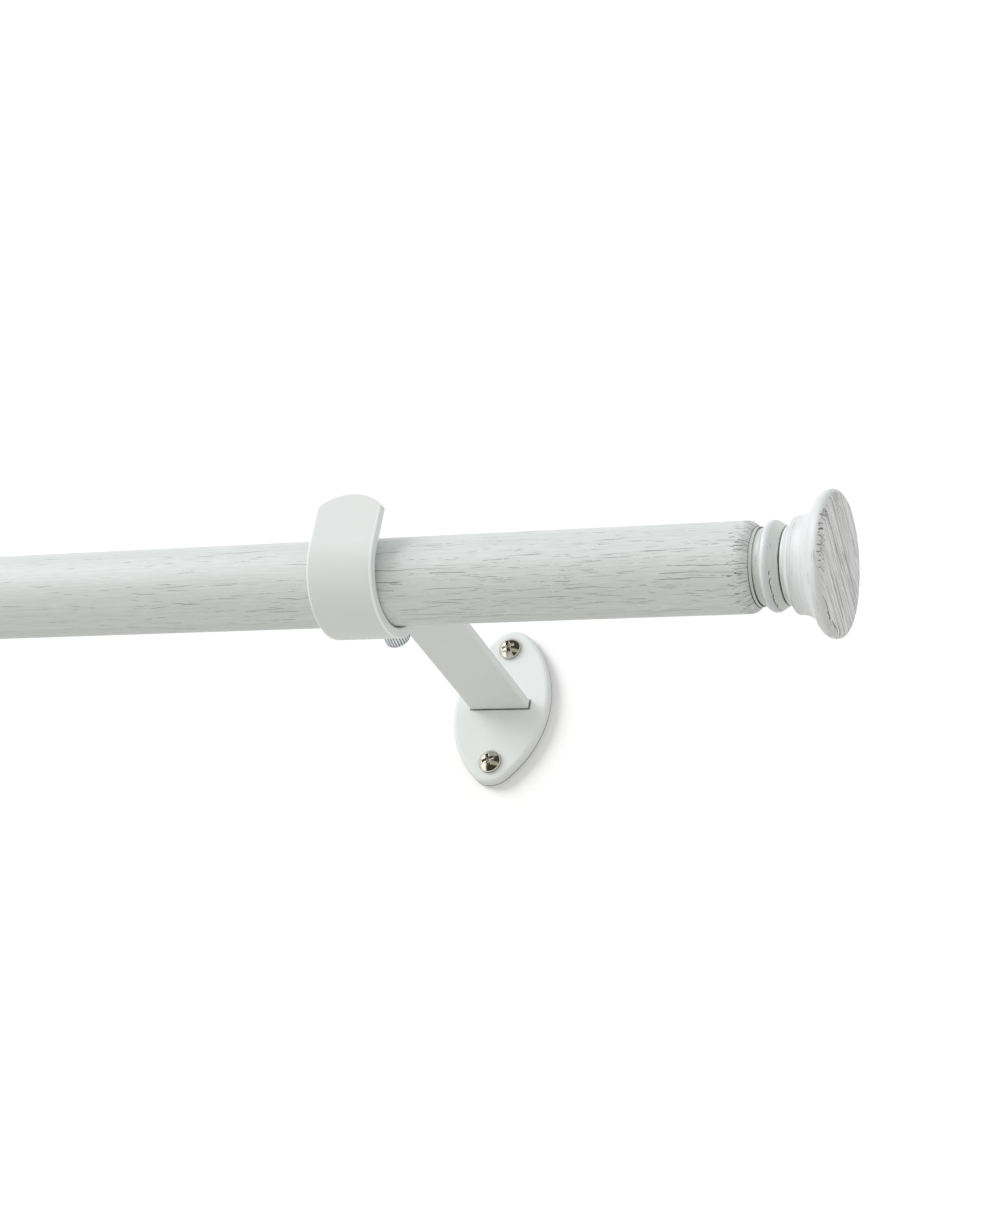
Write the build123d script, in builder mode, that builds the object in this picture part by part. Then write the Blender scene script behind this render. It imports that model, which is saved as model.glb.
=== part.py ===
"""Adjustable curtain rod on two strap brackets.

Millimetres. The origin is the middle of the right wall plate, on the wall. +X runs along the rod to
its right end, +Y points into the wall and +Z is up, so the rod hangs in the room at negative Y.
"""
import math
import os

from build123d import *

os.makedirs("parts", exist_ok=True)

# Rod: a steel tube with a smaller tube that slides in it from the left
rod_d = 25.4
tube_wall = 0.9
slide_gap = 0.3
closed_len = 711.0
inner_show = 140.0
inner_spare = 10.0
mouth_edge = 0.25

# End plugs: a rounded shoulder outside the tube, a spigot inside it
spigot_len = 16.0
shoulder_len = 3.0
press_gap = 0.1

# Finials: stations along the axis from the seat on the plug, and the radius at each
seat_r = 10.9
collar_len = 0.9
neck_r = 10.5
bead_foot_x = 2.7
bead_foot_r = 10.9
bead_x = 4.8
bead_r = 12.55
bead_edge_x = 5.8
bead_edge_r = 12.25
groove_x = 8.15
groove_w = 0.5
groove_r = 10.1
groove_lip_r = 10.8
cup_foot_x = 9.4
cup_foot_r = 11.1
cup_hip_x = 10.6
cup_hip_r = 12.75
cup_x = 11.5
cup_r = 13.4
flare_x = 18.3
flare_r = 18.6
rim_x = 21.0
rim_r = 20.1
finial_len = 22.7
face_r = 18.6

# Finial studs: screwed into the plug, moulded into the finial
stud_d = 6.0
stud_out = 14.0
stud_deep = 12.0
stud_point = 0.6
thread_gap = 0.3

# Brackets: one flat strap bent into arm, cradle and front leg
bracket_inset = 115.6
projection = 106.5
strap_w = 20.5
strap_t = 3.0
strap_edge = 0.5
cradle_r = 15.7
seat_gap = 0.3
bend_r = 3.0
arm_rise = 9.5
tip_h = 16.2
tip_rise = 4.0
root_len = 0.4
root_step = 0.35
tenon_w = 12.0
tenon_gap = 0.1

# Wall plates: an oval of four arcs, pointed at top and bottom
plate_w = 33.0
plate_h = 55.0
plate_t = 3.0
plate_end_r = 8.0
plate_edge = 1.5
hole_inset = 7.0
hole_gap = 0.4

# Wall screws: pan head with a cross recess, a plain neck in the plate and the thread behind it
screw_d = 4.0
screw_neck_d = 3.4
screw_len = 30.0
screw_point = 5.0
screw_head_d = 7.6
screw_head_h = 2.7
screw_head_edge = 0.9
cross_span = 4.4
cross_w = 1.15
cross_depth = 1.7
cross_taper = 8.0
cross_turn = 20.0

# Thumbscrews: knurled head behind the cradle, point against the tube
thumb_angle = 15.0
thumb_d = 5.0
thumb_head_d = 7.8
thumb_head_len = 6.5
thumb_stand = 2.2
thumb_point = 0.5
thumb_gap = 0.2
tip_gap = 0.3
thumb_head_edge = 0.5
knurl_count = 28
knurl_depth = 0.3

# What follows from those sizes
outer_r = rod_d / 2
outer_bore = outer_r - tube_wall
inner_r = outer_bore - slide_gap
inner_bore = inner_r - tube_wall
rod_y = -projection
rod_z = -(arm_rise + cradle_r - outer_r - seat_gap)
right_end = bracket_inset
left_end = right_end - closed_len
outer_mouth = left_end + inner_show
inner_stop = right_end - spigot_len - inner_spare
strap_mid_r = cradle_r + strap_t / 2
bend_mid_r = bend_r + strap_t / 2
hole_pitch = plate_h - 2 * hole_inset
stud_r = stud_d / 2
rod_axis = Axis((0, rod_y, rod_z), (1, 0, 0))

# The two ends: which way is out, the tube there, its bore, where it ends and where its bracket is
ends = {
    "right": (1, outer_r, outer_bore, right_end, right_end - bracket_inset),
    "left": (-1, inner_r, inner_bore, left_end, left_end + bracket_inset),
}


def save(builder, name):
    """Labels a finished sub-part and writes it as its own file."""
    builder.part.label = name
    export_step(builder.part, f"parts/{name}.step")


def along_rod(x, out):
    """A plane on the rod's axis: its x runs out along the rod, its y is the radius."""
    return Plane((x, rod_y, rod_z), x_dir=(out, 0, 0), z_dir=(0, -out, 0))


def cradle_z(tube_r):
    """Height of the cradle's centre when a tube of this radius lies in it."""
    return rod_z - tube_r - seat_gap + cradle_r


def make_tube(name, x0, x1, radius, bore, mouth_x):
    """A plain steel tube with the edges of its open mouth eased."""
    with BuildPart() as tube:
        with BuildSketch(Plane((x0, rod_y, rod_z), x_dir=(0, 1, 0), z_dir=(1, 0, 0))):
            Circle(radius)
            Circle(bore, mode=Mode.SUBTRACT)
        extrude(amount=x1 - x0)
        mouth = tube.faces().filter_by_position(Axis.X, mouth_x - mouth_edge, mouth_x + mouth_edge)
        chamfer(mouth.filter_by(GeomType.PLANE).edges(), length=mouth_edge)
    save(tube, name)


def make_end_plug(name, out, tube_r, bore, end_x):
    """Plug with a rounded shoulder that carries the tube's outline in to the finial's seat."""
    with BuildPart() as plug:
        with BuildSketch(along_rod(end_x, out)):
            with BuildLine():
                Polyline(
                    (shoulder_len, seat_r),
                    (shoulder_len, stud_r + thread_gap),
                    (-spigot_len, stud_r + thread_gap),
                    (-spigot_len, bore - press_gap),
                    (0, bore - press_gap),
                    (0, tube_r),
                )
                TangentArc((0, tube_r), (shoulder_len, seat_r), tangent=(1, 0))
            make_face()
        revolve(axis=rod_axis)
    save(plug, name)


def make_finial(name, out, end_x):
    """Turned finial: collar, cove, bead with a sloping back, groove, cup and a flare to the end disc."""
    bore_r = stud_r + press_gap
    with BuildPart() as finial:
        with BuildSketch(along_rod(end_x + out * shoulder_len, out)):
            with BuildLine():
                Polyline((0, bore_r), (0, seat_r), (collar_len, seat_r), (collar_len, neck_r))
                TangentArc((collar_len, neck_r), (bead_foot_x, bead_foot_r), tangent=(1, 0))
                TangentArc((bead_x, bead_r), (bead_foot_x, bead_foot_r), tangent=(-1, 0))
                TangentArc((bead_x, bead_r), (bead_edge_x, bead_edge_r), tangent=(1, 0))
                Polyline(
                    (bead_edge_x, bead_edge_r),
                    (groove_x, groove_lip_r),
                    (groove_x, groove_r),
                    (groove_x + groove_w, groove_r),
                    (groove_x + groove_w, groove_lip_r),
                    (cup_foot_x, cup_foot_r),
                    (cup_hip_x, cup_hip_r),
                )
                TangentArc((cup_x, cup_r), (cup_hip_x, cup_hip_r), tangent=(-1, 0))
                TangentArc((cup_x, cup_r), (flare_x, flare_r), tangent=(1, 0))
                TangentArc((rim_x, rim_r), (flare_x, flare_r), tangent=(-1, 0))
                TangentArc((rim_x, rim_r), (finial_len, face_r), tangent=(1, 0))
                Polyline(
                    (finial_len, face_r),
                    (finial_len, 0),
                    (stud_deep + press_gap, 0),
                    (stud_deep + press_gap, bore_r),
                    (0, bore_r),
                )
            make_face()
        revolve(axis=rod_axis)
    save(finial, name)


def make_finial_stud(name, out, end_x):
    """Steel stud from the plug into the finial."""
    with BuildPart() as stud:
        with BuildSketch(Plane((end_x + out * (shoulder_len - stud_out), rod_y, rod_z), z_dir=(out, 0, 0))):
            Circle(stud_r)
        extrude(amount=stud_out + stud_deep)
        chamfer(stud.edges().filter_by(GeomType.CIRCLE), length=stud_point)
    save(stud, name)


def make_bracket(name, x, tube_r):
    """Flat strap bent from the wall plate's tenon to the rounded tip in front of the rod."""
    centre = (x, rod_y, cradle_z(tube_r))
    arm_end = (x, -plate_t - root_len, cradle_z(tube_r) + arm_rise)
    tip_r = ((strap_w / 2) ** 2 + tip_rise**2) / (2 * tip_rise)
    with BuildPart() as bracket:
        with BuildSketch(Plane(centre, x_dir=(0, 1, 0), z_dir=(1, 0, 0))):
            with BuildLine():
                Line((projection - plate_t - root_len, arm_rise), (strap_mid_r + bend_mid_r, arm_rise))
                TangentArc(
                    (strap_mid_r + bend_mid_r, arm_rise),
                    (strap_mid_r, arm_rise - bend_mid_r),
                    tangent=(-1, 0),
                )
                Line((strap_mid_r, arm_rise - bend_mid_r), (strap_mid_r, 0))
                ThreePointArc((strap_mid_r, 0), (0, -strap_mid_r), (-strap_mid_r, 0))
                Line((-strap_mid_r, 0), (-strap_mid_r, tip_h))
            trace(line_width=strap_t)
        extrude(amount=strap_w / 2, both=True)
        # The tip is round in front view
        with BuildSketch(Plane(centre, x_dir=(1, 0, 0), z_dir=(0, -1, 0))):
            with Locations((0, tip_h - tip_rise / 2)):
                Rectangle(strap_w, tip_rise)
            with Locations((0, tip_h - tip_r)):
                Circle(tip_r, mode=Mode.SUBTRACT)
        extrude(amount=strap_mid_r + strap_t, mode=Mode.SUBTRACT)
        tip = bracket.faces().filter_by(GeomType.CYLINDER).sort_by(Axis.Z)[-1]
        fillet(bracket.faces().filter_by(Axis.X).edges() + tip.edges(), radius=strap_edge)
        # The arm steps in just before the plate; its tenon goes through and is staked flush behind
        with BuildSketch(Plane(arm_end, x_dir=(1, 0, 0), z_dir=(0, 1, 0))):
            Rectangle(strap_w - 2 * root_step, strap_t - 2 * root_step)
        extrude(amount=root_len)
        with BuildSketch(Plane(arm_end, x_dir=(1, 0, 0), z_dir=(0, 1, 0))):
            Rectangle(tenon_w, strap_t)
        extrude(amount=root_len + plate_t)
        with BuildSketch(thumb_plane(x, tube_r).offset(strap_mid_r - strap_t)):
            Circle(thumb_d / 2 + thumb_gap)
        extrude(amount=2 * strap_t, mode=Mode.SUBTRACT)
    save(bracket, name)


def make_wall_plate(name, x, plate_z):
    """Oval plate with a rounded front edge, a slot for the tenon and two screw holes."""
    end_z = plate_h / 2 - plate_end_r
    side_r = (plate_w**2 / 4 + end_z**2 - plate_end_r**2) / (plate_w - 2 * plate_end_r)
    reach = math.atan2(end_z, side_r - plate_w / 2)
    meet = (plate_end_r * math.cos(reach), end_z + plate_end_r * math.sin(reach))
    with BuildPart() as plate:
        with BuildSketch(Plane((x, 0, plate_z), x_dir=(1, 0, 0), z_dir=(0, -1, 0))):
            with BuildLine():
                TangentArc((plate_w / 2, 0), meet, tangent=(0, 1))
                TangentArc((0, plate_h / 2), meet, tangent=(1, 0))
                mirror(about=Plane.YZ)
                mirror(about=Plane.XZ)
            make_face()
            with GridLocations(0, hole_pitch, 1, 2):
                Circle(screw_d / 2 + hole_gap, mode=Mode.SUBTRACT)
            Rectangle(tenon_w + 2 * tenon_gap, strap_t + 2 * tenon_gap, mode=Mode.SUBTRACT)
        extrude(amount=plate_t)
        front = plate.faces().sort_by(Axis.Y)[0]
        fillet(front.outer_wire().edges(), radius=plate_edge)
    save(plate, name)


def make_wall_screw(name, x, z):
    """Pan-head wall screw, standing on the plate's front with its shank through the wall plane."""
    head_r = screw_head_d / 2
    seat = (x, -plate_t, z)
    with BuildPart() as screw:
        with BuildSketch(Plane(seat, x_dir=(1, 0, 0), z_dir=(0, 0, 1))):
            with BuildLine():
                TangentArc((0, -screw_head_h), (head_r, -screw_head_edge), tangent=(1, 0))
                Polyline(
                    (head_r, -screw_head_edge),
                    (head_r, 0),
                    (screw_neck_d / 2, 0),
                    (screw_neck_d / 2, plate_t),
                    (screw_d / 2, plate_t),
                    (screw_d / 2, screw_len - screw_point),
                    (0, screw_len),
                    (0, -screw_head_h),
                )
            make_face()
        revolve(axis=Axis(seat, (0, 1, 0)))
        top = (x, -plate_t - screw_head_h, z)
        with BuildSketch(Plane(top, x_dir=(1, 0, 0), z_dir=(0, -1, 0))):
            Rectangle(cross_span, cross_w, rotation=cross_turn)
            Rectangle(cross_w, cross_span, rotation=cross_turn)
        extrude(amount=-cross_depth, taper=cross_taper, mode=Mode.SUBTRACT)
    save(screw, name)


def thumb_plane(x, tube_r):
    """Plane at the cradle's centre whose normal runs out along the thumbscrew."""
    slope = math.radians(thumb_angle)
    out = (0, math.cos(slope), -math.sin(slope))
    return Plane((x, rod_y, cradle_z(tube_r)), x_dir=(1, 0, 0), z_dir=out)


def thumb_start(tube_r):
    """Distance from the cradle's centre to the screw's point, a hair off the tube."""
    slope = math.radians(thumb_angle)
    lift = cradle_r - tube_r - seat_gap
    flat_r = thumb_d / 2 - thumb_point
    reach = tube_r + tip_gap
    along = lift * math.sin(slope)
    aside = min(flat_r, lift * math.cos(slope))
    return along + math.sqrt(reach**2 - (lift * math.cos(slope) - aside) ** 2)


def make_thumbscrew(name, x, tube_r):
    """Thumbscrew with a straight-knurled head, square to the strap at the back of the cradle."""
    plane = thumb_plane(x, tube_r)
    tip = thumb_start(tube_r)
    head = cradle_r + strap_t + thumb_stand
    groove_side = knurl_depth * math.sqrt(2)
    with BuildPart() as thumb:
        with BuildSketch(plane.offset(head)):
            Circle(thumb_head_d / 2)
        extrude(amount=thumb_head_len)
        chamfer(thumb.edges().filter_by(GeomType.CIRCLE), length=thumb_head_edge)
        with BuildSketch(plane.offset(head)):
            with PolarLocations(thumb_head_d / 2, knurl_count):
                Rectangle(groove_side, groove_side, rotation=45)
        extrude(amount=thumb_head_len, mode=Mode.SUBTRACT)
        with BuildSketch(plane.offset(tip)):
            Circle(thumb_d / 2)
        extrude(amount=head - tip)
        point = thumb.faces().sort_by(Axis(plane.origin, plane.z_dir))[0]
        chamfer(point.edges(), length=thumb_point)
    save(thumb, name)


make_tube("outer_tube", outer_mouth, right_end, outer_r, outer_bore, outer_mouth)
make_tube("inner_tube", left_end, inner_stop, inner_r, inner_bore, inner_stop)

for side, (out, tube_r, bore, end_x, bracket_x) in ends.items():
    plate_z = cradle_z(tube_r) + arm_rise
    make_end_plug(f"{side}_end_plug", out, tube_r, bore, end_x)
    make_finial(f"{side}_finial", out, end_x)
    make_finial_stud(f"{side}_finial_stud", out, end_x)
    make_bracket(f"{side}_bracket", bracket_x, tube_r)
    make_wall_plate(f"{side}_wall_plate", bracket_x, plate_z)
    make_wall_screw(f"{side}_upper_wall_screw", bracket_x, plate_z + hole_pitch / 2)
    make_wall_screw(f"{side}_lower_wall_screw", bracket_x, plate_z - hole_pitch / 2)
    make_thumbscrew(f"{side}_thumbscrew", bracket_x, tube_r)
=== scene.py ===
# %% [markdown]
# # A curtain rod in distressed white paint
# The rod hangs on strap brackets with oval wall plates and ends in turned finials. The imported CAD
# model is the frame: it gives every solid its place, in metres. This lesson dresses it, with paint
# that looks brushed and crackled, powder coat, plated screws and their threads.

# %% Load the frame
import math

import bmesh
import bpy
from mathutils import Matrix, Vector


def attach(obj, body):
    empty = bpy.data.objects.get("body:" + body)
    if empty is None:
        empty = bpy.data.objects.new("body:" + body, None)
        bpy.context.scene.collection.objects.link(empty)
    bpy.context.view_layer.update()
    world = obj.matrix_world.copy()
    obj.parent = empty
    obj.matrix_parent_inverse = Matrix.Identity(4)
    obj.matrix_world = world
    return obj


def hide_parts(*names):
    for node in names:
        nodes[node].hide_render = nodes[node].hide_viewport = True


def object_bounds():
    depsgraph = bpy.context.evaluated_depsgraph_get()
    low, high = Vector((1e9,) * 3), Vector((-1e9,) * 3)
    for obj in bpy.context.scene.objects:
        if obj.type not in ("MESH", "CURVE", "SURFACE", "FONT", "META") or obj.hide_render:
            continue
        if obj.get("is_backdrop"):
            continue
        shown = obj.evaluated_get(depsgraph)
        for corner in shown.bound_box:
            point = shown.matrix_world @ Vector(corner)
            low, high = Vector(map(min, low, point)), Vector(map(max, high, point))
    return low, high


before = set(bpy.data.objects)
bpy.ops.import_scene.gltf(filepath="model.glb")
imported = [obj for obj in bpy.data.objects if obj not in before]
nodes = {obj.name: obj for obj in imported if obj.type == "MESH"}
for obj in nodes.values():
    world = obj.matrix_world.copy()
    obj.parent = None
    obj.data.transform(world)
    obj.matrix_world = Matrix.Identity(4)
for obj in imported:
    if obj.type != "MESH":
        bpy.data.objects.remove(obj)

cad_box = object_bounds()
scene = bpy.context.scene
MM = 0.001

# %% [markdown]
# ## Camera
# The photograph looks up at the right-hand end from the front and right. Its lens and place were
# worked out by fitting the CAD edges to the picture, so the camera is set by plain numbers: a
# position, and three angles. The long side of the picture stands upright, and Blender's sensor
# size belongs to the long side.

# %% Camera at the photograph's place
# The picture is 1000 by 1221 pixels
PHOTO_H = 1221
FOCAL_PX = 2466.9
YAW, PITCH, ROLL = math.radians(26.002), math.radians(26.774), math.radians(10.378)
EYE = Vector((314.6, -660.98, -334.16)) * MM

ahead = Vector((-math.sin(YAW) * math.cos(PITCH), math.cos(YAW) * math.cos(PITCH), math.sin(PITCH)))
level = Vector((math.cos(YAW), math.sin(YAW), 0.0))
above = level.cross(ahead)
right = level * math.cos(ROLL) + above * math.sin(ROLL)
up = above * math.cos(ROLL) - level * math.sin(ROLL)

lens = bpy.data.cameras.new("photo_camera")
lens.sensor_width = 36.0
lens.lens = lens.sensor_width * FOCAL_PX / PHOTO_H
lens.clip_start, lens.clip_end = 0.01, 50.0
camera = bpy.data.objects.new("photo_camera", lens)
scene.collection.objects.link(camera)
camera.matrix_world = Matrix.Translation(EYE) @ Matrix((right, up, -ahead)).transposed().to_4x4()
scene.camera = camera
print("camera:", round(lens.lens, 2), "mm lens")

# %% [markdown]
# ## One way to add a node
# Shaders here are long chains of small nodes. One function adds a node with its settings and its
# links, and takes a node, a socket or a plain value for each input. A second one turns a hex
# colour, as read on a screen, into the linear light that shaders use.

# %% Node and colour helpers
# Three kinds of node come so often that they get short names
MATH, RANGE, MIX = "ShaderNodeMath", "ShaderNodeMapRange", "ShaderNodeMix"


def add(tree, kind, values=None, **settings):
    """Adds one node; values go to its inputs by name or number, as links or as constants."""
    made = tree.nodes.new(kind)
    for label, setting in settings.items():
        setattr(made, label, setting)
    for label, value in (values or {}).items():
        if isinstance(value, bpy.types.Node):
            value = value.outputs[0]
        if isinstance(value, bpy.types.NodeSocket):
            tree.links.new(value, made.inputs[label])
        else:
            made.inputs[label].default_value = value
    return made


def linear(code):
    """An sRGB hex colour as linear RGBA."""
    parts = [int(code[i:i + 2], 16) / 255 for i in (1, 3, 5)]
    return [c / 12.92 if c <= 0.04045 else ((c + 0.055) / 1.055) ** 2.4 for c in parts] + [1.0]


def new_material(name):
    """A material with nothing in it but its output."""
    made = bpy.data.materials.new(name)
    made.use_nodes = True
    made.node_tree.nodes.clear()
    return made, made.node_tree, add(made.node_tree, "ShaderNodeOutputMaterial")


print("paint white:", [round(c, 3) for c in linear("#E6EBE9")])

# %% [markdown]
# ## Studio
# The picture has a white ground and a soft shadow where the plate meets the wall. A pale floor lies
# well below the camera, and a white wall stands behind the plates. A solid wall would hide the plates
# in views from behind, so this one lets sight through from its back.

# %% Floor and wall
FLOOR_Z = -0.50
WALL_Y = 0.0004


def flat_sheet(name, corners):
    """One four-cornered face, marked as stage."""
    mesh = bpy.data.meshes.new(name)
    mesh.from_pydata([Vector(c) for c in corners], [], [(0, 1, 2, 3)])
    made = bpy.data.objects.new(name, mesh)
    scene.collection.objects.link(made)
    made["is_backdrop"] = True
    return made


floor = flat_sheet("floor", [(-6, -6, FLOOR_Z), (6, -6, FLOOR_Z), (6, 6, FLOOR_Z), (-6, 6, FLOOR_Z)])
wall = flat_sheet("wall", [(-5, WALL_Y, FLOOR_Z), (5, WALL_Y, FLOOR_Z), (5, WALL_Y, 4), (-5, WALL_Y, 4)])

floor_paint, tree, out = new_material("studio floor")
shader = add(tree, "ShaderNodeBsdfDiffuse", {"Color": linear("#EEEEEC")})
tree.links.new(shader.outputs[0], out.inputs["Surface"])
floor.data.materials.append(floor_paint)

wall_paint, tree, out = new_material("studio wall")
chalk = add(tree, "ShaderNodeBsdfDiffuse", {"Color": linear("#FFFFFF")})
back = add(tree, "ShaderNodeBsdfTransparent")
seen_from = add(tree, "ShaderNodeNewGeometry")
one_way = add(tree, "ShaderNodeMixShader", {0: seen_from.outputs["Backfacing"], 1: chalk, 2: back})
tree.links.new(one_way.outputs[0], out.inputs["Surface"])
wall.data.materials.append(wall_paint)

# Neither throws light back on the object: the even dome alone lights its shaded side
floor.visible_diffuse = False
floor.visible_glossy = False
wall.visible_diffuse = False
print("stage: floor at", FLOOR_Z, "m, wall at", WALL_Y, "m")

# %% [markdown]
# ## Sky
# The world lights the shaded side evenly, and the camera sees it as white paper. Plated metal in an
# even dome would look like grey plastic, so a ray that leaves a shiny surface finds a room instead:
# dim, with a pale far wall and a window. The Light Path node tells these rays apart.

# %% Sky, and the room that metal mirrors
WINDOW_LIGHT = (1.6, 1.6, 1.6, 1)
EYE_LEVEL = 0.12

sky = bpy.data.worlds.new("studio")
scene.world = sky
sky.use_nodes = True
sky.node_tree.nodes.clear()
tree = sky.node_tree
way = add(tree, "ShaderNodeTexCoord")
axes = add(tree, "ShaderNodeSeparateXYZ", {0: way.outputs["Generated"]})
height = add(tree, RANGE, {"Value": axes.outputs["Z"], "From Min": -0.8, "From Max": -0.1})
air = add(tree, MIX, {0: height, 6: (1.0, 0.98, 0.92, 1), 7: (1, 1, 1, 1)}, data_type="RGBA")
dome = add(tree, "ShaderNodeBackground", {"Color": air.outputs[2], "Strength": 0.70})
# What bright metal mirrors: a dark room in front, with a pale far wall and a window at its left
front = add(tree, RANGE, {"Value": axes.outputs["Y"], "From Min": 0.0, "From Max": -0.3})
window = add(tree, RANGE, {"Value": axes.outputs["X"], "From Min": -0.42, "From Max": -0.6})
above_eye = add(tree, MATH, {0: axes.outputs["Z"], 1: EYE_LEVEL}, operation="ADD")
from_eye = add(tree, MATH, {0: above_eye}, operation="ABSOLUTE")
far_wall = add(tree, RANGE, {"Value": from_eye, "From Min": 0.26, "From Max": 0.16})
dim = add(tree, MIX, {0: far_wall, 6: linear("#45443A"), 7: linear("#C9C2AC")}, data_type="RGBA")
room = add(tree, MIX, {0: window, 6: dim.outputs[2], 7: WINDOW_LIGHT}, data_type="RGBA")
mirrored = add(tree, MIX, {0: front, 6: linear("#D8D8D4"), 7: room.outputs[2]}, data_type="RGBA")
scene_seen = add(tree, "ShaderNodeBackground", {"Color": mirrored.outputs[2], "Strength": 1.0})
paper = add(tree, "ShaderNodeBackground", {"Color": linear("#FFFFFF"), "Strength": 1.0})
ray = add(tree, "ShaderNodeLightPath")
lit = add(tree, "ShaderNodeMixShader", {0: ray.outputs["Is Glossy Ray"], 1: dome, 2: scene_seen})
mixed = add(tree, "ShaderNodeMixShader", {0: ray.outputs["Is Camera Ray"], 1: lit, 2: paper})
add(tree, "ShaderNodeOutputWorld", {"Surface": mixed})
print("sky:", len(tree.nodes), "nodes")

# %% [markdown]
# ## Lights
# Light comes from the upper left and front, from a large soft box. The shadow on the wall is shorter
# and softer than that box would throw, so the wall has a sun of its own. Light linking says which
# pieces a lamp reaches, and which of them shade it.

# %% Key, wall sun and fills
def soft_box(name, place, aim, size, power):
    """A square area light that points at aim."""
    lamp = bpy.data.lights.new(name, "AREA")
    lamp.size, lamp.energy = size, power
    made = bpy.data.objects.new(name, lamp)
    scene.collection.objects.link(made)
    aimed = (Vector(aim) - Vector(place)).to_track_quat("-Z", "Y")
    made.matrix_world = Matrix.Translation(place) @ aimed.to_matrix().to_4x4()
    return made


def only(name, objects):
    """A collection outside the scene that tells a lamp what it lights, or what shades it."""
    made = bpy.data.collections.new(name)
    for thing in objects:
        made.objects.link(thing)
    return made


key = soft_box("key", (-4.5, -3.6, 2.85), (0.0, -0.08, 0.0), 3.9, 196.0)
key_lit = only("lit by key", [*nodes.values(), floor])
key.light_linking.receiver_collection = key_lit
# The wall has a sun of its own that only the plates shade: the picture's short soft shadow
sun = bpy.data.lights.new("wall_sun", "SUN")
sun.energy, sun.angle = 2.6, math.radians(28)
wall_sun = bpy.data.objects.new("wall_sun", sun)
scene.collection.objects.link(wall_sun)
wall_sun.matrix_world = Vector((1.7, 1.0, -1.0)).to_track_quat("-Z", "Y").to_matrix().to_4x4()
plates = [nodes[end + "_wall_plate"] for end in ("right", "left")]
brackets = [nodes[end + "_bracket"] for end in ("right", "left")]
wall_sun.light_linking.receiver_collection = only("lit by wall sun", [wall])
wall_sun.light_linking.blocker_collection = only("shades the wall", plates)
# White walls throw light back: a fill from the right for the brackets, and one in front for the plates
fill = soft_box("bracket_fill", (1.4, -0.7, -0.4), (0.0, -0.06, 0.0), 1.0, 3.0)
fill.light_linking.receiver_collection = only("lit by bracket fill", brackets)
plate_fill = soft_box("plate_fill", (0.3, -1.6, 0.1), (0.0, 0.0, 0.0), 1.0, 3.2)
plate_fill.light_linking.receiver_collection = only("lit by plate fill", plates)
plate_fill.light_linking.blocker_collection = only("shades the plates", [floor])
scene.view_settings.view_transform = "Standard"
print("lights:", key.name, wall_sun.name, fill.name, plate_fill.name)

# %% [markdown]
# ## Coordinates on turned pieces
# Tubes, plugs and finials are all round about one axis, and the paint was brushed along the tube
# and round the finials. So the paint needs to know how far along the rod a point is, how far round
# and how far out. The two ends mirror each other, so a station counts from the finial's seat
# outwards at either end. All are worked out from Object coordinates, in millimetres.

# %% Node group: along, around, radius, station
ROD_Y, ROD_Z = -106.5, -12.2
SEAT_RIGHT, SEAT_LEFT = 118.6, -598.4
MIDDLE = (SEAT_RIGHT + SEAT_LEFT) / 2
HALF = (SEAT_RIGHT - SEAT_LEFT) / 2

turned = bpy.data.node_groups.new("turned coordinates", "ShaderNodeTree")
for name in ("Along", "Angle", "Radius", "Station", "Out Y", "Out Z"):
    turned.interface.new_socket(name=name, in_out="OUTPUT", socket_type="NodeSocketFloat")
place = add(turned, "ShaderNodeTexCoord")
in_mm = add(turned, "ShaderNodeVectorMath", {0: place.outputs["Object"], 1: (1000, 1000, 1000)},
            operation="MULTIPLY")
xyz = add(turned, "ShaderNodeSeparateXYZ", {0: in_mm})
out_y = add(turned, MATH, {0: xyz.outputs["Y"], 1: ROD_Y}, operation="SUBTRACT")
out_z = add(turned, MATH, {0: xyz.outputs["Z"], 1: ROD_Z}, operation="SUBTRACT")
to_front = add(turned, MATH, {0: out_y, 1: -1.0}, operation="MULTIPLY")
angle = add(turned, MATH, {0: out_z, 1: to_front}, operation="ARCTAN2")
y_square = add(turned, MATH, {0: out_y, 1: out_y}, operation="MULTIPLY")
both = add(turned, MATH, {0: out_z, 1: out_z, 2: y_square}, operation="MULTIPLY_ADD")
radius = add(turned, MATH, {0: both}, operation="SQRT")
from_middle = add(turned, MATH, {0: xyz.outputs["X"], 1: MIDDLE}, operation="SUBTRACT")
outward = add(turned, MATH, {0: from_middle}, operation="ABSOLUTE")
station = add(turned, MATH, {0: outward, 1: HALF}, operation="SUBTRACT")
add(turned, "NodeGroupOutput", {"Along": xyz.outputs["X"], "Angle": angle, "Radius": radius,
                                "Station": station, "Out Y": out_y, "Out Z": out_z})
print("group:", turned.name)

# %% [markdown]
# ## Cracks in paint
# A distressed finish is two coats: a dark one below, and a brittle white one brushed over it that
# splits into short dashes along the brush strokes. A noise texture alone gives clouds, not dashes.
# So the surface is first ruled into wavering rows, and each row is cut into cells.

# %% Node group: wavering rows, cut into cells
dashes = bpy.data.node_groups.new("paint dashes", "ShaderNodeTree")
for name, value in (("Along", 0.0), ("Across", 0.0), ("Pitch", 1.0), ("Cell", 8.0), ("Width", 0.25),
                    ("Share", 0.4), ("Least", 0.2), ("Wander", 0.5), ("Wave", 6.0), ("Break", 4.0),
                    ("Seed", 0.0)):
    socket = dashes.interface.new_socket(name=name, in_out="INPUT", socket_type="NodeSocketFloat")
    socket.default_value = value
dashes.interface.new_socket(name="Mask", in_out="OUTPUT", socket_type="NodeSocketFloat")
given = add(dashes, "NodeGroupInput").outputs

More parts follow.
